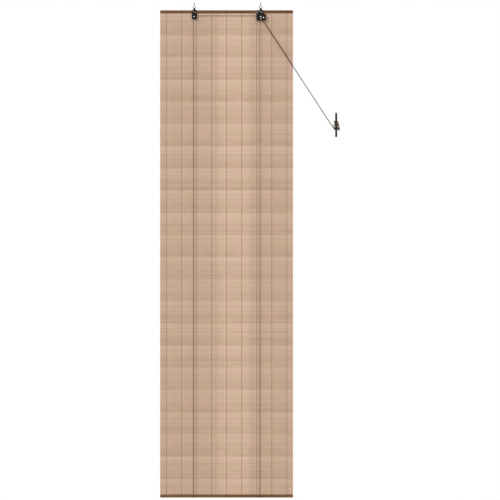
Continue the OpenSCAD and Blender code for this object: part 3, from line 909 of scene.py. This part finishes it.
@dataclass
class BambooMat:
    """The woven mat: its split slats, its twined warp threads and their bindings on the battens."""

    finishes: Finishes
    slat_pitch: float = 5.0 * MM
    slat_edge: float = 0.5 * MM
    slat_fill: float = 0.995
    slat_cuts: int = 2
    map_fill: float = 0.9
    tilt_deg: float = 2.2
    shift: Point = (0.3 * MM, 0.1 * MM, 0.06 * MM)
    sway: tuple[float, float] = (0.12 * MM, 0.1 * MM)
    warp_count: int = 9
    thread: Strand = Strand(1.35 * MM, 0.55 * MM, 5)
    stations: tuple[float, float] = (0.2, 0.8)
    binding: Strand = Strand(1.35 * MM, 0.5 * MM, 8)
    binding_lead: float = 2 * MM
    bend_steps: int = 4
    batten_edge: float = 1.5 * MM
    seed: int = 11

    def __post_init__(self) -> None:
        """Takes the mat's place from the frame."""
        self.low, self.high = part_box("bamboo_mat")
        self.count = round((self.high.z - self.low.z) / self.slat_pitch)
        self.pitch = (self.high.z - self.low.z) / self.count
        left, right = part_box("warp_threads")
        inset = self.thread.width / 2
        self.warps = steps(left.x + inset, right.x - inset, self.warp_count - 1)

    def build(self) -> None:
        """Models the mat and ties it to the frame."""
        slats = Piece("mat_slats", Slot.BAMBOO, Body.BLIND, ("bamboo_mat",))
        threads = Piece("mat_warp_threads", Slot.WARP_THREAD, Body.BLIND, ("warp_threads",), SMOOTH_DEG)
        for piece, bm in ((slats, self._slats()), (threads, self._threads())):
            gather(piece.finish(bm, self.finishes), self.low.z, self.high.z)
        for end, body, up in (("head", Body.BLIND, 1), ("bottom", Body.BOTTOM_END, -1)):
            name, solids = f"{end}_binding_threads", (f"{end}_bindings",)
            loops = Piece(name, Slot.WARP_THREAD, body, solids, SMOOTH_DEG)
            loops.finish(self._bindings(f"{end}_batten", up), self.finishes)

    def _slat(self) -> Mesh:
        """One slat with rounded long edges, round the origin.

        Returns:
            The slat's mesh.
        """
        bm = bmesh.new()
        size = (self.high.x - self.low.x, self.high.y - self.low.y, self.pitch * self.slat_fill)
        bmesh.ops.create_cube(bm, size=1, matrix=Matrix.Diagonal((*size, 1)))
        ease(bm, self._long(bm, size[0] / 2), self.slat_edge)
        bmesh.ops.subdivide_edges(
            bm, edges=self._long(bm, size[0] / 2), cuts=self.slat_cuts, use_grid_fill=False
        )
        return as_mesh(bm, "slat")

    @staticmethod
    def _long(bm: BMesh, reach: float) -> list[BMEdge]:
        """The edges that run further than this along X."""
        return [e for e in bm.edges if abs(e.verts[0].co.x - e.verts[1].co.x) > reach]

    def _slats(self) -> BMesh:
        """All the slats from the top down, each a little out of true, with their map.

        Returns:
            The slats' mesh.
        """
        chance = random.Random(self.seed)
        one = self._slat()
        bm = bmesh.new()
        number = bm.verts.layers.float.new("number")
        middle = (self.low + self.high) / 2
        for i in range(self.count):
            fresh = add_copy(bm, one)
            self._loosen(bm, fresh, chance)
            centre = Vector((middle.x, middle.y, self.high.z - (i + 0.5) * self.pitch))
            for vert in fresh:
                vert[number] = i + 0.5 + self.map_fill * vert.co.z / self.pitch
            bmesh.ops.translate(bm, vec=centre, verts=fresh)
        bpy.data.meshes.remove(one)
        laid = bm.loops.layers.uv.new(SLAT_MAP)
        for face in bm.faces:
            for loop in face.loops:
                loop[laid].uv = (loop.vert.co.x - self.low.x, loop.vert[number])
        return bm

    def _loosen(self, bm: BMesh, verts: Sequence[BMVert], chance: random.Random) -> None:
        """Tilts, shifts and bends one slat by a hair, as split bamboo is.

        Args:
            bm: The slats' mesh.
            verts: The slat's points, still round the origin.
            chance: The draw.
        """
        tilt = math.radians(chance.uniform(-self.tilt_deg, self.tilt_deg))
        bmesh.ops.rotate(bm, cent=(0, 0, 0), matrix=Matrix.Rotation(tilt, 3, "X"), verts=verts)
        shift = [chance.uniform(-most, most) for most in self.shift]
        bmesh.ops.translate(bm, vec=shift, verts=verts)
        reach = (self.high.x - self.low.x) / 6
        for station in (-reach, reach):
            bent = [v for v in verts if abs(v.co.x - station) < reach / 2]
            sway = [chance.uniform(-most, most) for most in self.sway]
            bmesh.ops.translate(bm, vec=(0, *sway), verts=bent)

    def _threads(self) -> BMesh:
        """Two strands for each warp, which change places between front and back at every slat.

        Returns:
            The threads' mesh.
        """
        pair = bmesh.new()
        reach = (self.high.y - self.low.y + self.thread.depth) / 2
        for phase in (0, 1):
            route = []
            for i in range(self.count):
                y = -reach if (i + phase) % 2 else reach
                for share in self.stations:
                    z = self.high.z - (i + share) * self.pitch
                    route.append(Vector((0, (self.low.y + self.high.y) / 2 + y, z)))
            self.thread.sweep(pair, route, (1, 0, 0))
        one = as_mesh(pair, "warp")
        bm = bmesh.new()
        for x in self.warps:
            bmesh.ops.translate(bm, vec=(x, 0, 0), verts=add_copy(bm, one))
        bpy.data.meshes.remove(one)
        Strand.lay_map(bm)
        return bm

    def _bindings(self, batten: str, up: int) -> BMesh:
        """The threads' loops over a batten.

        Args:
            batten: The batten's solid.
            up: 1 for a loop over the top, -1 for a loop under the foot.

        Returns:
            The loops.
        """
        low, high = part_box(batten)
        half = self.binding.depth / 2
        inner, outer = (low.z, high.z) if up > 0 else (high.z, low.z)
        bend, end, lead = self.batten_edge + half, inner + up * half, inner + up * self.binding_lead
        front, back = low.y - half, high.y + half
        across, rise = Vector((0, -bend, 0)), Vector((0, 0, up * bend))
        shoulder, turns = outer + up * (half - bend), steps(0, 90, self.bend_steps)
        bm = bmesh.new()
        for x in self.warps:
            route = [Vector((x, self.low.y - half, end)), Vector((x, front, lead))]
            route += arc(Vector((x, front + bend, shoulder)), across, rise, turns)
            route += arc(Vector((x, back - bend, shoulder)), rise, -across, turns)
            route += [Vector((x, back, lead)), Vector((x, self.high.y + half, end))]
            self.binding.sweep(bm, route, (1, 0, 0))
        Strand.lay_map(bm)
        return bm


def gather(piece: Object, low: float, high: float) -> None:
    """Gives a soft upright piece a mesh of its own. It works out what share of the piece the lift's travel
    is, but does not shorten the piece.

    Args:
        piece: The piece.
        low: The height of its foot.
        high: The height of its top.
    """
    lift = next(joint for joint in frame["joints"] if joint["name"] == "lift")
    travel = lift["range_m"][1]
    1 - travel / (high - low)
    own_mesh(piece)


@dataclass
class Knot:
    """A tight overhand knot, drawn as a trefoil of the cord."""

    finishes: Finishes
    strand: Strand
    at: Vector
    lobe: float = 0.72 * MM
    rise: float = 1.0 * MM
    points: int = 40

    def build(self, name: str, body: Body) -> Object:
        """Models the knot.

        Args:
            name: The piece's name.
            body: What it moves with.

        Returns:
            The knot.
        """
        route = []
        for angle in steps(0, FULL_TURN, self.points):
            x = math.sin(angle) + 2 * math.sin(2 * angle)
            z = math.cos(angle) - 2 * math.cos(2 * angle)
            lift = Vector((x * self.lobe, -math.sin(3 * angle) * self.rise, z * self.lobe))
            route.append(self.at + lift)
        bm = self.strand.braid(route, (0, 1, 0))
        return Piece(name, Slot.LIFT_CORD, body, (), SMOOTH_DEG).finish(bm, self.finishes)


@dataclass
class LiftCord:
    """One lift cord, from its knot down the back, round the foot, up the front and through the lock."""

    finishes: Finishes
    side: Side
    strand: Strand = Strand(1.8 * MM, 1.8 * MM, 10)
    sharp_deg: float = 60.0
    knot_d: float = 4.4 * MM
    loop_bend: float = 2.5 * MM
    pitch_r: float = 4.5 * MM
    toe_x: float = 158 * MM
    toe_z: float = -62.1 * MM
    toe_bend: float = 3.5 * MM
    leave_deg: float = 33.3
    bend_steps: int = 6
    wheel_steps: int = 8

    @property
    def radius(self) -> float:
        """Half the cord's thickness."""
        return self.strand.width / 2

    def build(self) -> None:
        """Models the held stretches of the cord and its knot."""
        for run, route in (("back", self._back()), ("front", self._front())):
            made = self._stretch(run, Body.BLIND, route)
            gather(made, min(p.z for p in route), max(p.z for p in route))
        knot = Knot(self.finishes, self.strand, self._back()[0])
        knot.build(f"{self.side.value}_tie_knot", Body.BLIND)
        self._stretch("loop", Body.BOTTOM_END, self._loop())
        self._stretch("head", Body.BLIND, self._head(), (0, 1, 0))

    def _stretch(self, run: str, body: Body, route: list[Vector], side: Point = (1, 0, 0)) -> Object:
        """Puts one stretch of braid in the place of its solid.

        Args:
            run: The stretch's name.
            body: What it moves with.
            route: Its centreline.
            side: A direction across its start.

        Returns:
            The braid.
        """
        node = f"{self.side.value}_cord_{run}"
        piece = Piece(f"{node}_braid", Slot.LIFT_CORD, body, (node,), self.sharp_deg)
        return piece.finish(self.strand.braid(route, side), self.finishes)

    def _back(self) -> list[Vector]:
        """From the knot on its eye down to the foot.

        Returns:
            The centreline.
        """
        low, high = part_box(f"{self.side.value}_cord_back")
        x, knot = (low.x + high.x) / 2, self.knot_d / 2
        return [Vector((x, high.y - knot, high.z - knot)), Vector((x, low.y + self.radius, low.z))]

    def _front(self) -> list[Vector]:
        """From the foot up to the wheel.

        Returns:
            The centreline.
        """
        low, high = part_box(f"{self.side.value}_cord_front")
        x = (low.x + high.x) / 2
        return [Vector((x, high.y - self.radius, low.z)), Vector((x, low.y + self.radius, high.z))]

    def _loop(self) -> list[Vector]:
        """Under the bottom batten, from the back to the front.

        Returns:
            The centreline.
        """
        low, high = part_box(f"{self.side.value}_cord_loop")
        x, bend = (low.x + high.x) / 2, self.loop_bend
        back, front, down = high.y - self.radius, low.y + self.radius, Vector((0, 0, -bend))
        corner, turns = low.z + self.radius + bend, steps(0, 90, self.bend_steps)
        route = [Vector((x, back, high.z))]
        route += arc(Vector((x, back - bend, corner)), Vector((0, bend, 0)), down, turns)
        route += arc(Vector((x, front + bend, corner)), down, Vector((0, -bend, 0)), turns)
        return [*route, Vector((x, front, high.z))]

    def _head(self) -> list[Vector]:
        """Over the wheels and down to the pawl's toe.

        Returns:
            The centreline.
        """
        y = centre_of(f"{self.side.value}_cord_head").y
        right = centre_of("right_pulley_wheel")
        sideways, up = Vector((self.pitch_r, 0, 0)), Vector((0, 0, self.pitch_r))
        wheel = Vector((right.x, y, right.z))
        if self.side is Side.LEFT:
            first = centre_of("left_pulley_wheel")
            route = arc(Vector((first.x, y, first.z)), sideways, up, steps(180, 90, self.wheel_steps))
            route += arc(wheel, sideways, up, steps(90, 0, self.wheel_steps))
        else:
            route = arc(wheel, sideways, up, steps(180, 0, 2 * self.wheel_steps))
        toe, bend = Vector((self.toe_x, y, self.toe_z)), self.toe_bend
        across, rise = Vector((bend, 0, 0)), Vector((0, 0, bend))
        return route + arc(toe, across, rise, steps(180, 180 + self.leave_deg, self.bend_steps))

    def leaves_at(self) -> Vector:
        """Where the cord leaves the lock."""
        return self._head()[-1]


@dataclass(frozen=True)
class CleatTurns:
    """The pull cords' turns on the cleat: aslant over its face, down its sides and behind its horns.

    Sizes are in millimetres from the cleat's middle, and depths are the frame's own.
    """

    hanging: tuple[Point, ...] = (
        (6.9, -2, 16.8), (7.8, -1.4, 14.2), (8.7, -1.4, 8), (10.2, -1.4, 0), (12, -1.4, -8),
        (12.6, -1.4, -13.5), (12.4, -1.4, -16.2), (11, -1.4, -17.6), (9.5, -1.4, -16.2),
        (9.1, -1.4, -13.5), (8.2, -1.4, -6.5), (7, -1.2, 1), (6.3, -0.3, 7.6), (6.7, 0.4, 10.5),
        (8.3, 0.7, 11.9), (10, 0.2, 10.4), (10.9, -0.9, 6.5), (12.6, -1.4, -0.5), (14.3, -1.6, -8),
        (15, -1.8, -14), (14.2, -2, -19),
    )
    count: int = 3
    face_y: float = -13.0
    back_y: float = -3.1
    lean: float = 1.22
    edge: float = 4.6
    back_edge: float = 5.2
    face_first: float = 1.6
    face_step: float = 3.2
    back_first: float = 13.4
    back_step: float = 2.0
    side_step: float = 1.95
    lobe_step: float = 2.5

    def left(self) -> list[Vector]:
        """The left cord's turns, which end in a tail behind the lower horn.

        Returns:
            The points of its route.
        """
        points = [point for k in range(self.count) for point in self._lower(k)]
        last = -self.back_first - self.back_step * (self.count + 1)
        tail = [(9.5, -2.8, last - 1), (12.8, -2.2, last - 2.4)]
        return self._placed(points + self._behind(last) + tail)

    def right(self) -> list[Vector]:
        """The right cord's turns, from behind the lower horn to a slack loop from the upper one.

        Returns:
            The points of its route.
        """
        points = self._behind(-self.back_first) + [(9.2, -4.6, -13.6), (10, -9.2, -9.6), (7.6, -12.3, -6.6)]
        points += [point for k in range(self.count) for point in self._upper(k)]
        return self._placed([*points, *self.hanging])

    def _lower(self, k: int) -> list[Point]:
        """One turn behind the lower horn, round to the face, over it and down the left side.

        Args:
            k: The turn's number, from the inside.

        Returns:
            The turn's points.
        """
        face = -self.face_first - self.face_step * k
        back = -self.back_first - self.back_step * (k + 1)
        out = 11.6 + self.lobe_step * k
        lobe = [(out - 2, -4.6, back - 0.3 - 0.3 * k), (out, -9, back + 2.4), (out - 4, -12.4, face - 8.2)]
        down = self._beside(-1, k, face, back - self.back_step)
        return self._behind(back) + lobe + self._over(face) + down

    def _upper(self, k: int) -> list[Point]:
        """One turn over the face, round behind the upper horn and down the right side.

        Args:
            k: The turn's number, from the inside.

        Returns:
            The turn's points.
        """
        face = self.face_first + self.face_step * k
        back = self.back_first + self.back_step * k
        out = 7.6 + self.side_step * k
        lobe = [(-out, -10.6, face + 8), (-out - 0.3, -6.2, back - 0.8)]
        turn = self._over(face) + lobe + self._behind(back)
        if k < self.count - 1:
            turn += reversed(self._beside(1, k, face + self.face_step, back))
        return turn

    def _over(self, face: float) -> list[Point]:
        """Aslant over the cleat's face, from right to left."""
        return [(x, self.face_y, face - self.lean * x) for x in (self.edge, 0, -self.edge)]

    def _behind(self, back: float) -> list[Point]:
        """Straight behind a horn, from left to right."""
        return [(x, self.back_y, back) for x in (-self.back_edge, 0, self.back_edge)]

    def _beside(self, side: int, k: int, face: float, back: float) -> list[Point]:
        """Along one side of the bar, from the face's edge to behind a horn.

        Args:
            side: 1 for the right side, -1 for the left.
            k: The turn's number, from the inside.
            face: The turn's height on the face.
            back: The height where it goes behind the horn.

        Returns:
            The stretch's points.
        """
        out = self.side_step * k
        places = (
            (6.9 + out, -12.6, face - side * 7.9), (8.4 + out, -11, face - side * 6.2),
            (7.5 + out, -8.8, face - side * 0.2), (6.7 + out, -6.4, back - side * 4.8),
            (6.9 + 0.75 * out, -4.3, back - side * 0.9),
        )
        return [(side * x, y, z) for x, y, z in places]

    @staticmethod
    def _placed(points: Sequence[Point]) -> list[Vector]:
        """The points in metres, round the cleat's middle."""
        middle = centre_of("cord_cleat")
        return [Vector((middle.x + x * MM, y * MM, middle.z + z * MM)) for x, y, z in points]


@dataclass
class PullCord:
    """The free end of a lift cord: straight down to the cleat, a few turns on it and a knot.

    It lies on the mat as far as the mat's edge, and bends from there to the cleat when the blind swings.
    """

    lift: LiftCord
    run: tuple[Point, ...]
    turns: Sequence[Vector]
    replaced: tuple[str, ...]
    lead: int = 3
    curve_steps: int = 5
    on_mat: float = 0.275
    to_cleat: float = 0.55

    def route(self) -> list[Vector]:
        """The whole centreline: the run's points as listed, then the turns worked out.

        Returns:
            Its points, from the lock.
        """
        run = [Vector(point) for point in self.run]
        wound = smooth(run[-self.lead:] + list(self.turns[1:]), self.curve_steps)
        return [self.lift.leaves_at(), *run[:-self.lead], *wound]

    def build(self) -> None:
        side, strand, finishes = self.lift.side.value, self.lift.strand, self.lift.finishes
        route = self.route()
        braid = Piece(f"{side}_pull_cord_braid", Slot.LIFT_CORD, None, self.replaced, self.lift.sharp_deg)
        cord = braid.finish(strand.braid(route, (0, 1, 0)), finishes)
        way = (route[1] - route[0]).normalized()
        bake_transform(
            cord, Body.FIXINGS.value, Body.BLIND.value,
            start=route[0] + way * self.to_cleat, end=route[0] + way * self.on_mat,
        )
        knot = Knot(finishes, strand, route[-1]).build(f"{side}_end_knot", Body.FIXINGS)
        length = sum((b - a).length for a, b in zip(route, route[1:]))
        log.info("%s cord: %.3f m from the lock to its knot", side, length)


LEFT_RUN: tuple[Point, ...] = (
    (0.1775, -0.0059, -0.1), (0.2011, -0.0054, -0.136), (0.2248, -0.0049, -0.172),
    (0.2484, -0.0044, -0.208), (0.272, -0.0038, -0.244), (0.2957, -0.0033, -0.28),
    (0.3193, -0.0028, -0.316), (0.3429, -0.0023, -0.352), (0.3665, -0.0017, -0.388),
    (0.3902, -0.0012, -0.424), (0.4138, -0.0007, -0.46), (0.4374, -0.0002, -0.496),
    (0.4611, 0.0004, -0.532), (0.472, 0.0006, -0.5487), (0.477, -0.0009, -0.5558),
    (0.4848, -0.0031, -0.5574),
)
RIGHT_RUN: tuple[Point, ...] = (
    (0.1799, -0.0093, -0.1), (0.2035, -0.0086, -0.136), (0.2271, -0.0079, -0.172),
    (0.2508, -0.0072, -0.208), (0.2744, -0.0065, -0.244), (0.298, -0.0058, -0.28),
    (0.3216, -0.0051, -0.316), (0.3453, -0.0044, -0.352), (0.3689, -0.0037, -0.388),
    (0.3925, -0.003, -0.424), (0.4161, -0.0023, -0.46), (0.4398, -0.0016, -0.496),
    (0.4634, -0.0009, -0.532), (0.473, -0.0006, -0.5466), (0.478, -0.0012, -0.554),
    (0.4848, -0.0031, -0.5554),
)


@dataclass
class Hardware:
    """The battens, brackets, wheels, lock and cleat, which keep the form of their solids."""

    kept: ClassVar[Mapping[Slot, tuple[str, ...]]] = {
        Slot.STAINED_WOOD: ("head_batten", "bottom_batten"),
        Slot.BRIGHT_STEEL: (
            "left_wheel_axle", "right_wheel_axle", "guide_roller_pin", "pawl_pin", "lock_pawl",
            "left_bracket_screws", "right_bracket_screws", "left_tie_eye", "right_tie_eye",
        ),
        Slot.WHEEL_NYLON: ("left_pulley_wheel", "right_pulley_wheel", "guide_roller"),
    }
    finishes: Finishes
    plate_edge: float = 0.16 * MM
    cleat_edge: float = 0.9 * MM
    cleat_segments: int = 3
    sharp_deg: float = 30.0

    def build(self) -> None:
        """Eases the plates and the cleat, and dresses what stays as it is."""
        for side in Side:
            for face in ("back", "front"):
                node = f"{side.value}_{face}_plate"
                plate = Piece(f"{node}_eased", Slot.BLACK_PLATE, Body.BLIND, (node,), self.sharp_deg)
                plate.finish(softened(node, self.plate_edge), self.finishes)
        node = "cord_cleat"
        cleat = Piece(f"{node}_eased", Slot.CLEAT_BLACK, Body.FIXINGS, (node,), self.sharp_deg)
        cleat.finish(softened(node, self.cleat_edge, self.cleat_segments), self.finishes)
        for slot, nodes in self.kept.items():
            for node in nodes:
                materials = frame["nodes"][node].data.materials
                materials.clear()
                materials.append(self.finishes[slot])


@dataclass
class Studio:
    """A plain pale floor, soft light from the upper left, and the camera straight in front."""

    frame_px: int = 500
    px_size: float = 4.5145 * MM
    lens_mm: float = 200.0
    sensor_mm: float = 36.0
    sight: float = 100.0
    aim_x: float = 101.2 * MM
    aim_z: float = -1106.25 * MM
    floor_drop: float = 0.25
    floor_r: float = 2.3
    key_from: Point = (-0.63, -0.567, 0.53)
    key_strength: float = 1.5
    soft_deg: float = 12.0
    back_from: Point = (0.5, 0.75, 0.43)
    back_strength: float = 0.9
    sky: float = 0.8
    floor_pale: Colour = srgb(200, 200, 199)
    floor_rough: float = 0.9
    floor_sides: int = 96

    def build(self) -> None:
        """Sets up the camera, the light and the floor."""
        bpy.context.scene.view_settings.view_transform = "Standard"
        self._camera()
        self._sun("key_light", self.key_from, self.key_strength)
        self._sun("back_light", self.back_from, self.back_strength)
        self._sky()
        self._floor()

    def _camera(self) -> None:
        """A long lens, level and square to the blind, so far off that it hardly tapers."""
        lens = bpy.data.cameras.new("camera")
        lens.lens, lens.sensor_width = self.lens_mm, self.sensor_mm
        lens.clip_end = self.sight
        camera = linked("camera", lens)
        away = self.frame_px * self.px_size * self.lens_mm / self.sensor_mm
        camera.location = (self.aim_x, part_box("bamboo_mat")[0].y - away, self.aim_z)
        camera.rotation_euler = (math.pi / 2, 0, 0)
        bpy.context.scene.camera = camera

    def _sun(self, name: str, towards: Point, strength: float) -> None:
        """Hangs up a wide, soft lamp.

        Args:
            name: The lamp's name.
            towards: The direction that it shines from.
            strength: Its strength.
        """
        lamp = bpy.data.lights.new(name, "SUN")
        lamp.energy = strength
        lamp.angle = math.radians(self.soft_deg)
        linked(name, lamp).rotation_euler = Vector(towards).to_track_quat("Z", "Y").to_euler()

    def _sky(self) -> None:
        """White to the eye and in reflections, and a soft even light on the rest."""
        world = bpy.data.worlds.new("studio")
        world.use_nodes = True
        bpy.context.scene.world = world
        nodes = Nodes(world.node_tree)
        seen = nodes.node("ShaderNodeLightPath", output="Is Camera Ray")
        for ray in ("Is Glossy Ray", "Is Transmission Ray"):
            seen = seen.math("MAXIMUM", seen, nodes.node("ShaderNodeLightPath", output=ray))
        backdrop = world.node_tree.nodes["Background"]
        backdrop.inputs["Color"].default_value = (1, 1, 1, 1)
        nodes.feed(backdrop.inputs["Strength"], self.sky + seen * (1 - self.sky))

    def _floor(self) -> None:
        """A pale round floor under the blind."""
        low, high = cad_box
        bm = bmesh.new()
        place = Matrix.Translation(((low.x + high.x) / 2, 0, low.z - self.floor_drop))
        bmesh.ops.create_circle(
            bm, cap_ends=True, segments=self.floor_sides, radius=self.floor_r, matrix=place
        )
        floor = linked("floor", as_mesh(bm, "floor"))
        floor.data.materials.append(Surface("pale_floor").dress(self.floor_pale, self.floor_rough))


def main() -> None:
    """Builds the studio and every sub-assembly of the blind."""
    logging.basicConfig(level=logging.INFO, format="%(message)s")
    finishes = make_finishes()
    left, right = (LiftCord(finishes, side) for side in (Side.LEFT, Side.RIGHT))
    turns = CleatTurns()
    parts = (
        Studio(),
        left,
        right,
        PullCord(left, LEFT_RUN, turns.left(), ("left_pull_cord", "cleat_hank")),
        PullCord(right, RIGHT_RUN, turns.right(), ("right_pull_cord",)),
        *(ScrewHook(finishes, side) for side in Side),
        BambooMat(finishes),
        Hardware(finishes),
    )
    for part in parts:
        log.info("building %s", type(part).__name__)
        part.build()


if __name__ == "__main__":
    main()
